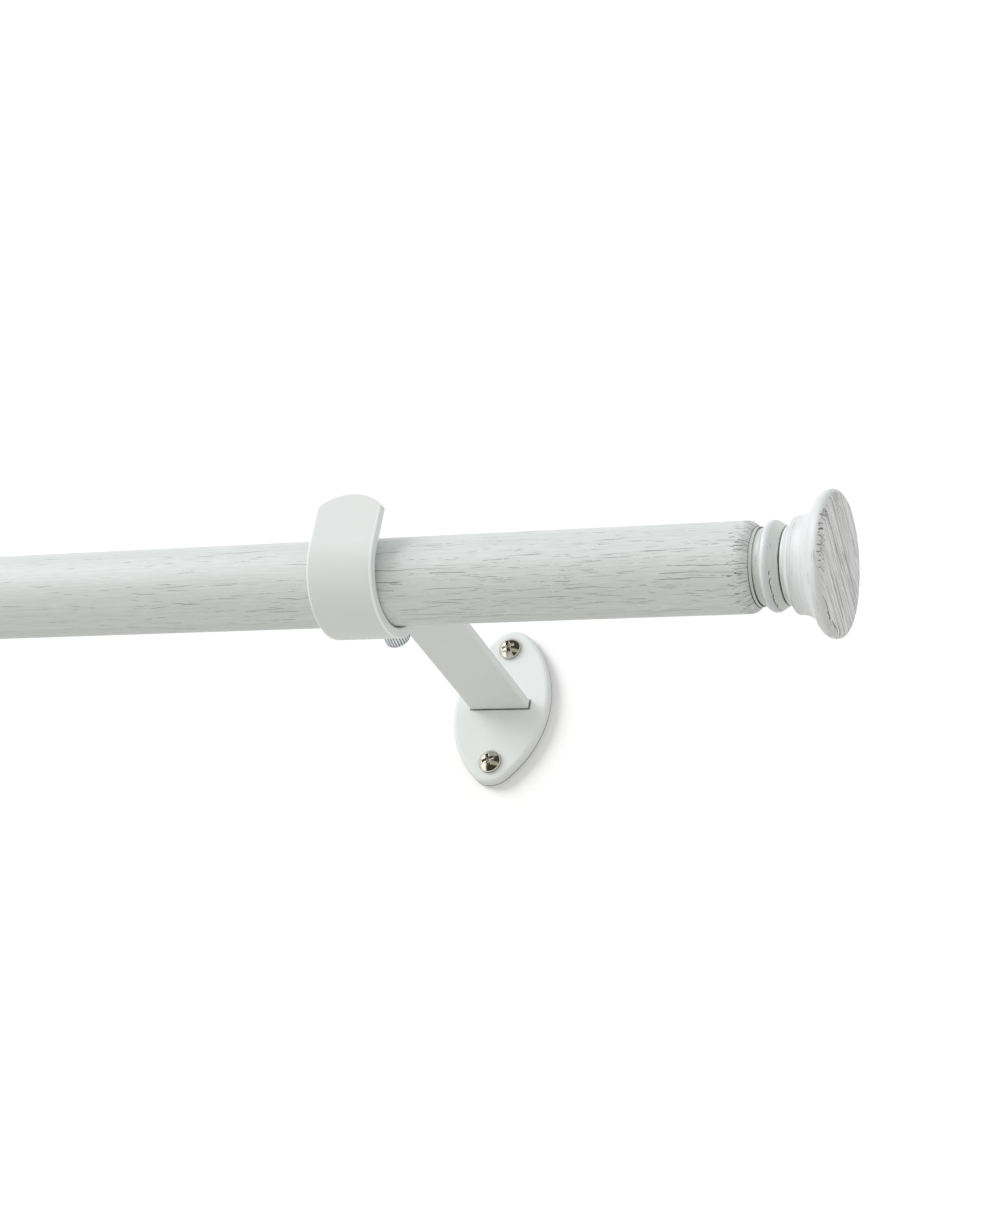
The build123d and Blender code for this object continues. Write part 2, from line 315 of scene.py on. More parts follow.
# The rows waver: noise moves a point across them by up to Wander
wave_x = add(dashes, MATH, {0: given["Along"], 1: given["Wave"]}, operation="DIVIDE")
wave_y = add(dashes, MATH, {0: given["Across"], 1: given["Wave"]}, operation="DIVIDE")
wave_at = add(dashes, "ShaderNodeCombineXYZ", {0: wave_x, 1: wave_y, 2: given["Seed"]})
waver = add(dashes, "ShaderNodeTexNoise", {"Vector": wave_at, "Scale": 1.0, "Detail": 2.0})
centred = add(dashes, MATH, {0: waver.outputs["Fac"], 1: 0.5}, operation="SUBTRACT")
doubled = add(dashes, MATH, {0: centred, 1: 2.0}, operation="MULTIPLY")
moved = add(dashes, MATH, {0: doubled, 1: given["Wander"], 2: given["Across"]}, operation="MULTIPLY_ADD")

# The row, and where in the row; each row is shifted by its own luck, so that cells don't line up
ROW_SHUFFLE = 57.0
rows = add(dashes, MATH, {0: moved, 1: given["Pitch"]}, operation="DIVIDE")
row = add(dashes, MATH, {0: rows}, operation="FLOOR")
in_row = add(dashes, MATH, {0: rows}, operation="FRACT")
row_key = add(dashes, "ShaderNodeCombineXYZ", {0: row, 1: given["Seed"]})
row_luck = add(dashes, "ShaderNodeTexWhiteNoise", {"Vector": row_key}, noise_dimensions="3D")
cells = add(dashes, MATH, {0: given["Along"], 1: given["Cell"]}, operation="DIVIDE")
shifted = add(dashes, MATH, {0: row_luck.outputs["Value"], 1: ROW_SHUFFLE, 2: cells},
              operation="MULTIPLY_ADD")
cell = add(dashes, MATH, {0: shifted}, operation="FLOOR")
in_cell = add(dashes, MATH, {0: shifted}, operation="FRACT")
print("rows and cells:", len(dashes.nodes), "nodes")

# %% [markdown]
# White noise then draws lots for each cell: whether it holds a dash, how long it is, how dark, and how
# far off the row's middle. The dash tapers to both ends as a real split does. A function lays several
# sizes of such dashes over each other.

# %% Node group: one dash in a cell, and layers of dashes
cell_key = add(dashes, "ShaderNodeCombineXYZ", {0: row, 1: cell, 2: given["Seed"]})
luck = add(dashes, "ShaderNodeTexWhiteNoise", {"Vector": cell_key}, noise_dimensions="3D")
lucks = add(dashes, "ShaderNodeSeparateColor", {0: luck.outputs["Color"]})
there = add(dashes, MATH, {0: luck.outputs["Value"], 1: given["Share"]}, operation="LESS_THAN")
half = add(dashes, RANGE, {"Value": lucks.outputs[0], "To Min": 0.12, "To Max": 0.48})
from_mid = add(dashes, MATH, {0: in_cell, 1: 0.5}, operation="SUBTRACT")
share_of = add(dashes, MATH, {0: from_mid, 1: half}, operation="DIVIDE")
squared = add(dashes, MATH, {0: share_of, 1: share_of}, operation="MULTIPLY")
taper = add(dashes, MATH, {0: 1.0, 1: squared}, operation="SUBTRACT", use_clamp=True)
off = add(dashes, RANGE, {"Value": lucks.outputs[1], "To Min": 0.3, "To Max": 0.7})
aside = add(dashes, MATH, {0: in_row, 1: off.outputs[0]}, operation="SUBTRACT")
aside_mm = add(dashes, MATH, {0: aside, 1: given["Pitch"]}, operation="MULTIPLY")
apart = add(dashes, MATH, {0: aside_mm}, operation="ABSOLUTE")
reach = add(dashes, MATH, {0: taper, 1: given["Width"]}, operation="MULTIPLY")
core = add(dashes, MATH, {0: reach, 1: 0.6}, operation="MULTIPLY")
body = add(dashes, RANGE, {"Value": apart, "From Min": reach, "From Max": core})
unlike = add(dashes, MATH, {0: lucks.outputs[2], 1: 1.5}, operation="POWER")
dark = add(dashes, RANGE, {"Value": unlike, "To Min": given["Least"]})
inked = add(dashes, MATH, {0: body, 1: there}, operation="MULTIPLY")
mask = add(dashes, MATH, {0: inked, 1: dark}, operation="MULTIPLY")
# A long dash is broken: it comes and goes along its length, over about Break, unlike its neighbours
GAP_SHUFFLE = 7.31
gap_x = add(dashes, MATH, {0: given["Along"], 1: given["Break"]}, operation="DIVIDE")
gap_y = add(dashes, MATH, {0: row, 1: GAP_SHUFFLE}, operation="MULTIPLY")
gap_at = add(dashes, "ShaderNodeCombineXYZ", {0: gap_x, 1: gap_y, 2: given["Seed"]})
gaps = add(dashes, "ShaderNodeTexNoise", {"Vector": gap_at, "Scale": 1.0, "Detail": 1.0})
whole = add(dashes, RANGE, {"Value": gaps.outputs["Fac"], "From Min": 0.42, "From Max": 0.50})
broken = add(dashes, MATH, {0: mask, 1: whole}, operation="MULTIPLY")
add(dashes, "NodeGroupOutput", {"Mask": broken})


def dash_layers(tree, along, across, share_of, least, layers):
    """Sizes of dash over each other: pitch, cell, width, share, wander, wave, break and seed."""
    ink = 0.0
    for pitch, cell, width, share, wander, wave, gap, seed in layers:
        often = add(tree, MATH, {0: share_of, 1: share}, operation="MULTIPLY")
        layer = add(tree, "ShaderNodeGroup", {
            "Along": along, "Across": across, "Pitch": pitch, "Cell": cell, "Width": width, "Share": often,
            "Least": least, "Wander": wander, "Wave": wave, "Break": gap, "Seed": seed}, node_tree=dashes)
        ink = add(tree, MATH, {0: ink, 1: layer}, operation="MAXIMUM")
    return ink


print("group:", dashes.name, len(dashes.nodes), "nodes")

# %% [markdown]
# ## Brushed and crackled paint on the tubes
# Sprayed grey-white enamel on a steel tube, brushed while wet, so it has faint streaks along the
# rod; then the dark undercoat shows through in fine dashes. Three sizes of dash share one group.
# Modelled cracks would cost many faces for hairlines, so they are colour with a little bump.

# %% Enamel on the tubes: streaks and cracks
# To the eye: a soft satin sheen, faint streaks along the rod, and hairline cracks that read as age
# The outer tube's radius, in mm
OUTER_R = 12.7

enamel, tree, out = new_material("distressed enamel on steel tube")
spot = add(tree, "ShaderNodeGroup", node_tree=turned).outputs
around = add(tree, MATH, {0: spot["Angle"], 1: OUTER_R}, operation="MULTIPLY")
skin = add(tree, "ShaderNodeCombineXYZ", {0: spot["Along"], 1: around})
# Brush streaks about 0.7 mm apart and 30 mm long, and a finer grain between them
streak_map = add(tree, "ShaderNodeMapping", {"Vector": skin, "Scale": (1 / 30, 1 / 0.7, 1)})
streaks = add(tree, "ShaderNodeTexNoise", {"Vector": streak_map, "Scale": 1.0, "Detail": 4.0})
grain_map = add(tree, "ShaderNodeMapping", {"Vector": skin, "Scale": (1 / 5, 1 / 0.4, 1)})
grain = add(tree, "ShaderNodeTexNoise", {"Vector": grain_map, "Scale": 1.0, "Detail": 2.0})
mottle = add(tree, MATH, {0: streaks, 1: grain}, operation="ADD")
tone = add(tree, RANGE, {"Value": mottle, "From Min": 0.76, "From Max": 1.24})
# Cracks crowd in patches about 25 mm long
patch_map = add(tree, "ShaderNodeMapping", {"Vector": skin, "Scale": (1 / 25, 1 / 7, 1)})
patches = add(tree, "ShaderNodeTexNoise", {"Vector": patch_map, "Scale": 1.0, "Detail": 2.0})
crowd = add(tree, RANGE, {"Value": patches, "From Min": 0.32, "From Max": 0.62, "To Min": 0.35})
# They show less on the rod's top
under = add(tree, RANGE, {"Value": spot["Out Z"], "From Min": 9.0, "From Max": -3.0, "To Min": 0.45})
crowd = add(tree, MATH, {0: crowd, 1: under}, operation="MULTIPLY")
# They are fewer towards the middle of the rod
far_off = add(tree, RANGE, {"Value": spot["Station"], "From Min": -205.0, "From Max": -120.0, "To Min": 0.3})
crowd = add(tree, MATH, {0: crowd, 1: far_off}, operation="MULTIPLY")
# Hairlines are finer than a pixel of the picture: these are drawn as coarse as they need to show
cracks = dash_layers(tree, spot["Along"], around, crowd, 0.7, (
    (2.0, 80.0, 0.085, 0.80, 2.0, 40.0, 17.0, 3.0),
    (1.0, 36.0, 0.068, 0.75, 1.1, 14.0, 5.5, 11.0),
    (0.55, 17.0, 0.052, 0.70, 0.6, 6.0, 2.5, 23.0)))
print("streaks and cracks:", len(tree.nodes), "nodes")

# %% [markdown]
# Over the rounded shoulder the coat has shrunk most. It splits into a fringe of short strokes there,
# and parts from the finial in a dark seam.

# %% Material: distressed enamel on steel tube
# The fringe thins out a few millimetres along the tube
fringe = add(tree, RANGE, {"Value": spot["Station"], "From Min": -6.8, "From Max": -2.6})
near = add(tree, MATH, {0: fringe, 1: 1.6}, operation="POWER")
strokes = dash_layers(tree, spot["Station"], around, near, 0.5, (
    (0.5, 5.0, 0.095, 1.0, 0.5, 2.4, 3.6, 31.0),
    (0.85, 7.0, 0.12, 1.0, 0.9, 3.0, 4.4, 37.0)))
seam_line = add(tree, RANGE, {"Value": spot["Station"], "From Min": -0.14, "From Max": -0.08})
# The seam is fine in front and opens a little above and below
aloft = add(tree, MATH, {0: spot["Out Z"]}, operation="ABSOLUTE")
gape = add(tree, RANGE, {"Value": aloft, "From Min": 4.0, "From Max": 10.0, "To Min": 0.45})
seam = add(tree, MATH, {0: seam_line, 1: gape}, operation="MULTIPLY")
split = add(tree, MATH, {0: cracks, 1: strokes}, operation="MAXIMUM")
ink = add(tree, MATH, {0: split, 1: seam}, operation="MAXIMUM")
coat = add(tree, MIX, {0: tone, 6: linear("#DADFDE"), 7: linear("#E6EBEA")}, data_type="RGBA")
colour = add(tree, MIX, {0: ink, 6: coat.outputs[2], 7: linear("#3E3832")}, data_type="RGBA")
rough = add(tree, RANGE, {"Value": streaks, "To Min": 0.38, "To Max": 0.56})
relief = add(tree, MATH, {0: mottle, 1: 0.25}, operation="MULTIPLY")
height = add(tree, MATH, {0: relief, 1: ink}, operation="SUBTRACT")
bump = add(tree, "ShaderNodeBump", {"Height": height, "Distance": 0.06 * MM, "Strength": 0.6})
shader = add(tree, "ShaderNodeBsdfPrincipled", {
    "Base Color": colour.outputs[2], "Roughness": rough.outputs[0], "Normal": bump, "IOR": 1.48})
tree.links.new(shader.outputs[0], out.inputs["Surface"])
print("material:", enamel.name, len(tree.nodes), "nodes")

# %% [markdown]
# ## Paint on the finials
# The finials are moulded resin in a brighter white, brushed round the turnings. The end disc was
# dragged with a dry brush in one direction, which leaves long parallel scratches. One pattern can't
# follow both, so the paint asks how far out along the finial a point is, and changes at the disc.

# %% Paint on the finials: strokes on the disc and round the turnings
# To the eye: moulded resin under paint, whiter and a little glossier than the tube, with brush lines
# The dry brush's direction, the radii of cup and disc edge, and the stations where the disc begins
STROKE_Y, STROKE_Z = 0.943, -0.333
CUP_R, EDGE_R = 13.0, 18.5
DISC_STARTS, DISC_ENDS = 22.0, 22.6

resin, tree, out = new_material("dry-brushed paint on resin")
spot = add(tree, "ShaderNodeGroup", node_tree=turned).outputs
around = add(tree, MATH, {0: spot["Angle"], 1: spot["Radius"]}, operation="MULTIPLY")
wider = add(tree, MATH, {0: spot["Radius"], 1: CUP_R}, operation="SUBTRACT")
flared = add(tree, MATH, {0: wider, 1: 0.0}, operation="MAXIMUM")
profile = add(tree, MATH, {0: spot["Station"], 1: flared}, operation="ADD")
face = add(tree, RANGE, {"Value": spot["Station"], "From Min": DISC_STARTS, "From Max": DISC_ENDS})
# Across and along the dry-brush strokes on the disc
part_y = add(tree, MATH, {0: spot["Out Y"], 1: STROKE_Y}, operation="MULTIPLY")
drag = add(tree, MATH, {0: spot["Out Z"], 1: STROKE_Z, 2: part_y}, operation="MULTIPLY_ADD")
part_z = add(tree, MATH, {0: spot["Out Z"], 1: STROKE_Y}, operation="MULTIPLY")
cross = add(tree, MATH, {0: spot["Out Y"], 1: -STROKE_Z, 2: part_z}, operation="MULTIPLY_ADD")
scratches = dash_layers(tree, drag, cross, 1.0, 0.9, (
    (1.2, 120.0, 0.19, 1.0, 0.12, 40.0, 26.0, 41.0),
    (0.85, 70.0, 0.14, 1.0, 0.1, 30.0, 13.0, 43.0),
    (0.6, 36.0, 0.11, 1.0, 0.1, 20.0, 7.0, 47.0)))
on_disc = add(tree, MATH, {0: scratches, 1: face}, operation="MULTIPLY")
# Round the turnings: few cracks, mostly low down
low = add(tree, RANGE, {"Value": spot["Out Z"], "From Min": 2.0, "From Max": -7.0, "To Min": 0.2})
rings = dash_layers(tree, around, profile, low, 0.25, (
    (1.1, 26.0, 0.11, 0.45, 0.4, 14.0, 4.0, 53.0),
    (0.6, 14.0, 0.10, 0.40, 0.3, 8.0, 2.5, 59.0)))
off_disc = add(tree, MATH, {0: 0.75, 1: face}, operation="SUBTRACT", use_clamp=True)
on_side = add(tree, MATH, {0: rings, 1: off_disc}, operation="MULTIPLY")
print("strokes:", len(tree.nodes), "nodes")

# %% [markdown]
# On the finial's edges the coat is thin and has split again: in short strokes across the disc's edge,
# and in a few cracks that run round. The dark undercoat was also left bare in the groove and the
# steps, where a brush doesn't reach. Each crack is a thin band about one station or radius, swayed by
# noise and kept between two angles.

# %% Paint on the finials: cracks and bare undercoat
# The station of the groove behind the bead
GROOVE = 8.4

# Short strokes across the disc's rounded edge, most of them in one stretch above the front
edge_in = add(tree, RANGE, {"Value": spot["Radius"], "From Min": 16.6, "From Max": 17.4})
edge_out = add(tree, RANGE, {"Value": spot["Station"], "From Min": 21.2, "From Max": 21.8})
edge = add(tree, MATH, {0: edge_in, 1: edge_out}, operation="MULTIPLY")
edge_angle = add(tree, MATH, {0: spot["Angle"], 1: EDGE_R}, operation="MULTIPLY")
from_stretch = add(tree, MATH, {0: spot["Angle"], 1: -0.12}, operation="SUBTRACT")
stretch_off = add(tree, MATH, {0: from_stretch}, operation="ABSOLUTE")
stretch = add(tree, RANGE, {"Value": stretch_off, "From Min": 0.6, "From Max": 0.45, "To Min": 0.05})
nibbles = dash_layers(tree, spot["Radius"], edge_angle, stretch, 0.7, (
    (1.0, 2.6, 0.19, 1.0, 0.9, 2.0, 3.0, 61.0),
    (0.7, 1.8, 0.15, 1.0, 0.6, 1.5, 2.5, 67.0)))
on_edge = add(tree, MATH, {0: nibbles, 1: edge}, operation="MULTIPLY")
# Cracks run round: one low on the bead's edge, with gaps, and two short ones low on the disc's edge
crack_map = add(tree, "ShaderNodeCombineXYZ", {0: around})
crack_waver = add(tree, "ShaderNodeTexNoise", {"Vector": crack_map, "Scale": 0.5, "Detail": 3.0})
sway = add(tree, RANGE, {"Value": crack_waver, "To Min": -0.7, "To Max": 0.7})
crack_gaps = add(tree, "ShaderNodeTexNoise", {"Vector": crack_map, "Scale": 0.6, "Detail": 1.0})
torn = 0.0
for measure, middle, width, first, last, shut, loose in (
        ("Station", 6.1, 0.13, -0.62, -1.95, 0.40, 1.0),
        ("Radius", 19.2, 0.22, -1.22, -1.38, 0.0, 0.4),
        ("Radius", 18.7, 0.22, -1.45, -1.70, 0.0, 0.4)):
    past = add(tree, MATH, {0: spot[measure], 1: middle}, operation="SUBTRACT")
    swayed = add(tree, MATH, {0: sway, 1: -loose, 2: past}, operation="MULTIPLY_ADD")
    apart = add(tree, MATH, {0: swayed}, operation="ABSOLUTE")
    line = add(tree, RANGE, {"Value": apart, "From Min": width, "From Max": width / 2})
    begun = add(tree, MATH, {0: spot["Angle"], 1: first}, operation="LESS_THAN")
    ended = add(tree, MATH, {0: spot["Angle"], 1: last}, operation="GREATER_THAN")
    open_here = add(tree, RANGE, {"Value": crack_gaps, "From Min": shut - 0.06, "From Max": shut + 0.06})
    crack = line
    for limit in (begun, ended, open_here):
        crack = add(tree, MATH, {0: crack, 1: limit}, operation="MULTIPLY")
    torn = add(tree, MATH, {0: torn, 1: crack}, operation="MAXIMUM")
before_cup = add(tree, MATH, {0: spot["Station"], 1: 8.1}, operation="LESS_THAN")
past_flare = add(tree, MATH, {0: spot["Station"], 1: 21.5}, operation="GREATER_THAN")
kept = add(tree, MATH, {0: before_cup, 1: past_flare}, operation="MAXIMUM")
torn = add(tree, MATH, {0: torn, 1: kept}, operation="MULTIPLY")
# The undercoat left bare: the groove behind the bead, the collar's step and the seam
aloft = add(tree, MATH, {0: spot["Out Z"]}, operation="ABSOLUTE")
groove = 0.0
for middle, reach, least in ((GROOVE, 0.26, 0.85), (0.95, 0.12, 0.15), (0.0, 0.1, 0.45)):
    past = add(tree, MATH, {0: spot["Station"], 1: middle}, operation="SUBTRACT")
    apart = add(tree, MATH, {0: past}, operation="ABSOLUTE")
    band = add(tree, RANGE, {"Value": apart, "From Min": reach, "From Max": reach - 0.06})
    gape = add(tree, RANGE, {"Value": aloft, "From Min": 4.0, "From Max": 10.0, "To Min": least})
    line = add(tree, MATH, {0: band, 1: gape}, operation="MULTIPLY")
    groove = add(tree, MATH, {0: groove, 1: line}, operation="MAXIMUM")
ink = on_disc
for mark in (on_side, on_edge, groove, torn):
    ink = add(tree, MATH, {0: ink, 1: mark}, operation="MAXIMUM")
print("with cracks and undercoat:", len(tree.nodes), "nodes")

# %% [markdown]
# Over the cracks lies the coat itself, with brush lines. The bead took it unevenly, in bands of grey and
# white round the finial, and one thin white band is a painted highlight; a colour ramp along the stations
# lays them down.

# %% Material: dry-brushed paint on resin
# Brush lines round the turnings, 0.5 mm apart
line_at = add(tree, "ShaderNodeCombineXYZ", {0: around, 1: profile})
line_map = add(tree, "ShaderNodeMapping", {"Vector": line_at, "Scale": (1 / 40, 1 / 0.5, 1)})
drag_at = add(tree, "ShaderNodeCombineXYZ", {0: drag, 1: cross})
drag_map = add(tree, "ShaderNodeMapping", {"Vector": drag_at, "Scale": (1 / 25, 1 / 0.5, 1)})
brushed = add(tree, MIX, {0: face, 4: line_map, 5: drag_map}, data_type="VECTOR")
strands = add(tree, "ShaderNodeTexNoise", {"Vector": brushed.outputs[1], "Scale": 1.0, "Detail": 3.0})
lines = add(tree, RANGE, {"Value": strands, "From Min": 0.3, "From Max": 0.7}).outputs[0]
side_coat = add(tree, MIX, {0: lines, 6: linear("#DADFE0"), 7: linear("#F0F2F3")}, data_type="RGBA")
# Bands on the bead: grey in the cove, a white line that is a painted highlight on the bead's edge, a cool
# white band, grey on its back
BANDS_END = 10.0
at_bead = add(tree, RANGE, {"Value": spot["Station"], "From Max": BANDS_END})
ramp = add(tree, "ShaderNodeValToRGB", {0: at_bead})
bead_bands_and_highlight = ((0.0, "#D4DAD7"), (2.6, "#D2D8D5"), (3.5, "#D3D9D6"), (3.8, "#EFF1EF"), (4.0, "#EEF0EF"),
         (4.4, "#DFE4E8"), (5.3, "#DDE2E6"), (5.6, "#DCE2DE"), (8.0, "#DEE4E0"))
for _ in bead_bands_and_highlight[2:]:
    ramp.color_ramp.elements.new(0.5)
for stop, (where, code) in zip(ramp.color_ramp.elements, bead_bands_and_highlight):
    stop.position = where / BANDS_END
    stop.color = linear(code)
bead_coat_and_highlight = add(tree, MIX, {0: 0.06, 6: ramp, 7: lines}, data_type="RGBA")
past_bead = add(tree, MATH, {0: spot["Station"], 1: GROOVE}, operation="GREATER_THAN")
side_coat = add(tree, MIX, {0: past_bead, 6: bead_coat_and_highlight.outputs[2], 7: side_coat.outputs[2]},
                data_type="RGBA")
disc_coat = add(tree, MIX, {0: lines, 6: linear("#E2E3E4"), 7: linear("#FAFAFB")}, data_type="RGBA")
coat = add(tree, MIX, {0: face, 6: side_coat.outputs[2], 7: disc_coat.outputs[2]}, data_type="RGBA")
colour = add(tree, MIX, {0: ink, 6: coat.outputs[2], 7: linear("#4A423A")}, data_type="RGBA")
rough = add(tree, RANGE, {"Value": lines, "To Min": 0.32, "To Max": 0.5})
relief = add(tree, MATH, {0: lines, 1: 0.4}, operation="MULTIPLY")
height = add(tree, MATH, {0: relief, 1: ink}, operation="SUBTRACT")
bump = add(tree, "ShaderNodeBump", {"Height": height, "Distance": 0.06 * MM, "Strength": 0.6})
shader = add(tree, "ShaderNodeBsdfPrincipled", {
    "Base Color": colour.outputs[2], "Roughness": rough.outputs[0], "Normal": bump, "IOR": 1.5})
tree.links.new(shader.outputs[0], out.inputs["Surface"])
print("material:", resin.name, len(tree.nodes), "nodes")

# %% [markdown]
# ## Powder coat on brackets and plates
# Powder is sprayed on dry and baked, so it flows into a thick even skin with a fine orange peel. The corner
# where the arm meets the plate is darkened with painted shade, and the cradle's edges carry a painted white
# highlight. Both could be painted on an image. Here they come from each point's distance to the arm's
# middle.

# %% Powder coat: peel, and painted shade in the corners
# To the eye: a quiet satin, paler and smoother than the rod, with hardly any pattern
PEEL, CLOUD = 1.1 * MM, 14 * MM
# In mm: where the left plate's middle is, and half the strap's width and thickness
LEFT_X, LEFT_UP = -479.8, 1.2
STRAP_HALF, STRAP_HALF_T = 10.25, 1.5

powder, tree, out = new_material("satin powder coat")
place = add(tree, "ShaderNodeTexCoord")
peel, cloud = (add(tree, "ShaderNodeTexNoise", {
    "Vector": place.outputs["Object"], "Scale": 1 / size, "Detail": 2.0}) for size in (PEEL, CLOUD))
coat = add(tree, MIX, {0: cloud, 6: linear("#E2E6E4"), 7: linear("#E9EDEC")}, data_type="RGBA")
# Painted shade in two corners: the step in the arm just off the plate, and the plate's back edge
parts = add(tree, "ShaderNodeSeparateXYZ", {0: place.outputs["Object"]})
painted_corner_shade = 0.0
for middle, reach in ((-3.22, 0.2), (-0.2, 0.17)):
    past = add(tree, MATH, {0: parts.outputs["Y"], 1: middle * MM}, operation="SUBTRACT")
    apart = add(tree, MATH, {0: past}, operation="ABSOLUTE")
    band = add(tree, MATH, {0: apart, 1: reach * MM}, operation="LESS_THAN")
    painted_corner_shade = add(tree, MATH, {0: painted_corner_shade, 1: band}, operation="MAXIMUM")
# Painted shade also round the foot of the arm, on the plate: how far outside the arm's section a point is
on_right = add(tree, MATH, {0: parts.outputs["X"], 1: LEFT_X / 2 * MM}, operation="GREATER_THAN")
plate_x = add(tree, RANGE, {"Value": on_right, "To Min": LEFT_X * MM, "To Max": 0.0})
plate_z = add(tree, RANGE, {"Value": on_right, "To Min": LEFT_UP * MM, "To Max": 0.0})
sides = []
for axis, middle, reach in (("X", plate_x, STRAP_HALF), ("Z", plate_z, STRAP_HALF_T)):
    past = add(tree, MATH, {0: parts.outputs[axis], 1: middle}, operation="SUBTRACT")
    apart = add(tree, MATH, {0: past}, operation="ABSOLUTE")
    sides.append(add(tree, MATH, {0: apart, 1: reach * MM}, operation="SUBTRACT"))
foot = add(tree, MATH, {0: sides[0], 1: sides[1]}, operation="MAXIMUM")
corner = add(tree, RANGE, {"Value": foot, "From Min": 0.5 * MM, "From Max": 0.2 * MM, "To Max": 0.75})
near_wall = add(tree, MATH, {0: parts.outputs["Y"], 1: -3.3 * MM}, operation="GREATER_THAN")
painted_foot_shade = add(tree, MATH, {0: corner, 1: near_wall}, operation="MULTIPLY")
painted_corner_shade = add(tree, MATH, {0: painted_corner_shade, 1: painted_foot_shade}, operation="MAXIMUM")
print("dust:", len(tree.nodes), "nodes")

# %% [markdown]
# The CAD strap is already rounded at the cradle's edges, and a painted highlight line along them makes that
# narrow round show.

# %% Material: satin powder coat
# Round the cradle a painted white highlight runs along the strap's long edges, on the broad faces, where the
# coat is also a little smoother
brink = add(tree, RANGE, {"Value": sides[0], "From Min": -0.8 * MM, "From Max": -0.45 * MM})
facing = add(tree, "ShaderNodeNewGeometry")
turn = add(tree, "ShaderNodeSeparateXYZ", {0: facing.outputs["Normal"]})
sideways = add(tree, MATH, {0: turn.outputs["X"]}, operation="ABSOLUTE")
broad = add(tree, MATH, {0: sideways, 1: 0.85}, operation="LESS_THAN")
at_cradle = add(tree, RANGE, {"Value": parts.outputs["Y"], "From Min": -92 * MM, "From Max": -100 * MM})
painted_edge_highlight = add(tree, MATH, {0: brink, 1: broad}, operation="MULTIPLY")
painted_edge_highlight = add(tree, MATH, {0: painted_edge_highlight, 1: at_cradle}, operation="MULTIPLY")
# Painted highlight: near white along the cradle's edges
coat = add(tree, MIX, {0: painted_edge_highlight, 6: coat.outputs[2], 7: linear("#FAFFFD")}, data_type="RGBA")
# Painted shade: the corners and the arm's foot go dark
colour = add(tree, MIX, {0: painted_corner_shade, 6: coat.outputs[2], 7: linear("#4C514E")}, data_type="RGBA")
bump = add(tree, "ShaderNodeBump", {"Height": peel, "Distance": 0.02 * MM, "Strength": 0.4})
satin = add(tree, RANGE, {"Value": peel, "To Min": 0.36, "To Max": 0.46})
rough = add(tree, MATH, {0: painted_edge_highlight, 1: -0.1, 2: satin}, operation="MULTIPLY_ADD")
shader = add(tree, "ShaderNodeBsdfPrincipled", {
    "Base Color": colour.outputs[2], "Roughness": rough.outputs[0], "Normal": bump, "IOR": 1.5,
    "Specular IOR Level": 0.25})
tree.links.new(shader.outputs[0], out.inputs["Surface"])
print("material:", powder.name, len(tree.nodes), "nodes")

# %% [markdown]
# ## Plated screws
# The wall screws are steel with bright nickel, warm and nearly a mirror. It is a metal shader, so most of
# what shows is the room. Ambient occlusion finds the cross recess and the thread's roots, and paints shade
# into them.

# %% Material: bright nickel plate
# To the eye: a mirror with a faint haze, and painted shade in the cross recess and the thread
HAZE = 0.9 * MM

nickel, tree, out = new_material("bright nickel plate")
place = add(tree, "ShaderNodeTexCoord")
haze = add(tree, "ShaderNodeTexNoise", {"Vector": place.outputs["Object"], "Scale": 1 / HAZE, "Detail": 3.0})
shut_in = add(tree, "ShaderNodeAmbientOcclusion", {"Distance": 0.9 * MM}, samples=8, only_local=True)
# Painted shade: recesses that ambient occlusion finds go dark
unshaded = add(tree, RANGE, {"Value": shut_in.outputs["AO"], "From Min": 0.35, "From Max": 0.8})
plate = add(tree, MIX, {0: haze, 6: linear("#C6C0B4"), 7: linear("#D8D3C9")}, data_type="RGBA")
colour = add(tree, MIX, {0: unshaded, 6: linear("#6A6454"), 7: plate.outputs[2]}, data_type="RGBA")
rough = add(tree, RANGE, {"Value": haze, "To Min": 0.06, "To Max": 0.2})
shader = add(tree, "ShaderNodeBsdfPrincipled", {
    "Base Color": colour.outputs[2], "Roughness": rough.outputs[0], "Metallic": 1.0})
tree.links.new(shader.outputs[0], out.inputs["Surface"])
print("material:", nickel.name, len(tree.nodes), "nodes")

# %% [markdown]
# The thumbscrews and studs are zinc plated, which is cheaper, bluer and duller. Zinc sets in crystals,
# so a Voronoi pattern gives each its own tone and roughness.

# %% Material: bright zinc plate
# To the eye: bluish and spangled, with painted shade in the knurl's grooves and the thread's roots
SPANGLE = 0.7 * MM

zinc, tree, out = new_material("bright zinc plate")
place = add(tree, "ShaderNodeTexCoord")
spangle = add(tree, "ShaderNodeTexVoronoi", {"Vector": place.outputs["Object"], "Scale": 1 / SPANGLE})
shut_in = add(tree, "ShaderNodeAmbientOcclusion", {"Distance": 0.8 * MM}, samples=8, only_local=True)
# Painted shade: grooves and roots that ambient occlusion finds go dark
unshaded = add(tree, RANGE, {"Value": shut_in.outputs["AO"], "From Min": 0.7, "From Max": 0.97})
plate = add(tree, MIX, {0: spangle.outputs["Color"], 6: linear("#C6CED0"), 7: linear("#E2E8EA")},
            data_type="RGBA")
colour = add(tree, MIX, {0: unshaded, 6: linear("#3C4648"), 7: plate.outputs[2]}, data_type="RGBA")
rough = add(tree, RANGE, {"Value": spangle.outputs["Distance"], "To Min": 0.2, "To Max": 0.36})
shader = add(tree, "ShaderNodeBsdfPrincipled", {
    "Base Color": colour.outputs[2], "Roughness": rough.outputs[0], "Metallic": 1.0})
tree.links.new(shader.outputs[0], out.inputs["Surface"])
print("material:", zinc.name, len(tree.nodes), "nodes")

# %% [markdown]
# ## Finishes on the CAD nodes
# The solids have the right shapes, so they stay and only get their materials. The end of a node's
# name says what the piece is.

